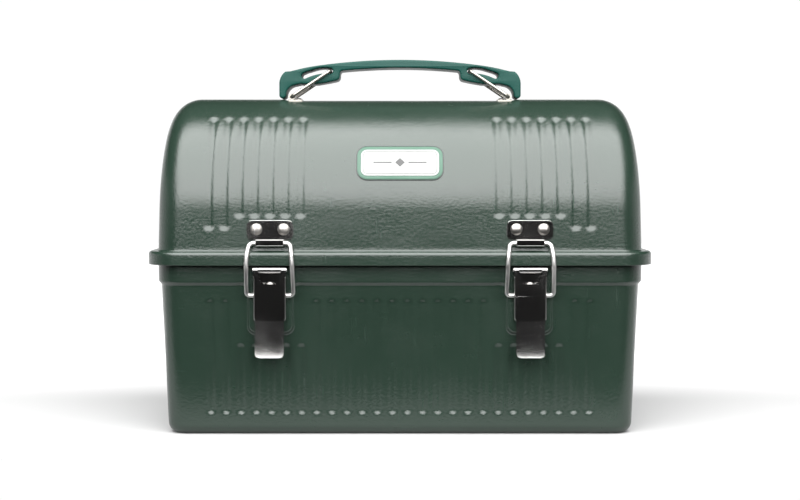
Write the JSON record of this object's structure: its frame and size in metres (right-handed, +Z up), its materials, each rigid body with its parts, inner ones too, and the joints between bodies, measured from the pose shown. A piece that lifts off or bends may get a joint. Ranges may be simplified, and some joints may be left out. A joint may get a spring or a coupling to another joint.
{
  "type": "metal lunch box",
  "caption": "Domed steel lunch box with hinged lid, draw latches, lifting handle on wire links and a bottle clamp in the lid.",
  "frame": {"origin": "middle of the flat base of the body, at the level the box stands on", "axes": "+Z up, +X to the right seen from the front, -Y out of the front with the latches"},
  "size_m": [0.3346, 0.1805, 0.253],
  "materials": {
    "enamel": "glossy green enamel baked on steel, worn to bare metal at some edges",
    "bright_steel": "bright nickel-plated steel with light scratches",
    "wire_steel": "bright plated steel wire",
    "rivet_steel": "plated steel rivets",
    "grip_plastic": "moulded teal-green plastic with a soft gloss",
    "badge_green": "printed pale green border",
    "badge_cream": "printed off-white field"
  },
  "bodies": {
    "body": {"body_shell": "enamel", "latch_base_left": "bright_steel", "latch_base_right": "bright_steel", "latch_base_rivets": "rivet_steel", "latch_pin_left": "wire_steel", "latch_pin_right": "wire_steel", "hinge_leaf_lower_left": "bright_steel", "hinge_leaf_lower_right": "bright_steel", "hinge_pin_left": "wire_steel", "hinge_pin_right": "wire_steel", "hinge_lower_rivets": "rivet_steel"},
    "lid": {"lid_shell": "enamel", "strike_plate_left": "bright_steel", "strike_plate_right": "bright_steel", "strike_rivets": "rivet_steel", "hinge_leaf_upper_left": "bright_steel", "hinge_leaf_upper_right": "bright_steel", "hinge_upper_rivets": "rivet_steel", "badge_plate": "badge_green", "badge_field": "badge_cream", "handle_bracket_left": "bright_steel", "handle_bracket_right": "bright_steel", "handle_bracket_rivets": "rivet_steel", "clamp_pivot_left": "bright_steel", "clamp_pivot_right": "bright_steel", "clamp_catch_left": "bright_steel", "clamp_catch_right": "bright_steel"},
    "handle": {"handle_grip": "grip_plastic"},
    "link_left": {"handle_link_left": "wire_steel"},
    "link_right": {"handle_link_right": "wire_steel"},
    "lever_left": {"latch_lever_left": "bright_steel"},
    "lever_right": {"latch_lever_right": "bright_steel"},
    "bail_left": {"latch_bail_left": "wire_steel"},
    "bail_right": {"latch_bail_right": "wire_steel"},
    "clamp": {"bottle_clamp": "wire_steel"}
  },
  "joints": [
    {"name": "lid_hinge", "type": "hinge", "parent": "body", "child": "lid", "pos_m": [0, 0.0877, 0.112], "axis": [-1, 0, 0], "range_deg": [0, 105]},
    {"name": "handle_lift", "type": "slide", "parent": "lid", "child": "handle", "axis": [0, 0, 1], "range_m": [0, 0.0165]},
    {"name": "link_swing_left", "type": "hinge", "parent": "lid", "child": "link_left", "pos_m": [-0.0757, 0, 0.2265], "axis": [0, -1, 0], "range_deg": [0, 40.5]},
    {"name": "link_swing_right", "type": "hinge", "parent": "lid", "child": "link_right", "pos_m": [0.0757, 0, 0.2265], "axis": [0, 1, 0], "range_deg": [0, 40.5]},
    {"name": "latch_left", "type": "hinge", "parent": "body", "child": "lever_left", "pos_m": [-0.085, -0.08155, 0.1101], "axis": [-1, 0, 0], "range_deg": [0, 85]},
    {"name": "latch_right", "type": "hinge", "parent": "body", "child": "lever_right", "pos_m": [0.085, -0.08155, 0.1101], "axis": [-1, 0, 0], "range_deg": [0, 85]},
    {"name": "bail_left_swing", "type": "hinge", "parent": "lever_left", "child": "bail_left", "pos_m": [-0.085, -0.08135, 0.0933], "axis": [-1, 0, 0], "range_deg": [-127.5, 0]},
    {"name": "bail_right_swing", "type": "hinge", "parent": "lever_right", "child": "bail_right", "pos_m": [0.085, -0.08135, 0.0933], "axis": [-1, 0, 0], "range_deg": [-127.5, 0]},
    {"name": "bottle_clamp_swing", "type": "hinge", "parent": "lid", "child": "clamp", "pos_m": [0, 0.07347, 0.127], "axis": [1, 0, 0], "range_deg": [0, 50]}
  ],
  "couplings": [
    {"joint": "link_swing_left", "follows": "handle_lift", "rad_per_m": 42.84},
    {"joint": "link_swing_right", "follows": "handle_lift", "rad_per_m": 42.84},
    {"joint": "bail_left_swing", "follows": "latch_left", "ratio": -1.5},
    {"joint": "bail_right_swing", "follows": "latch_right", "ratio": -1.5}
  ]
}
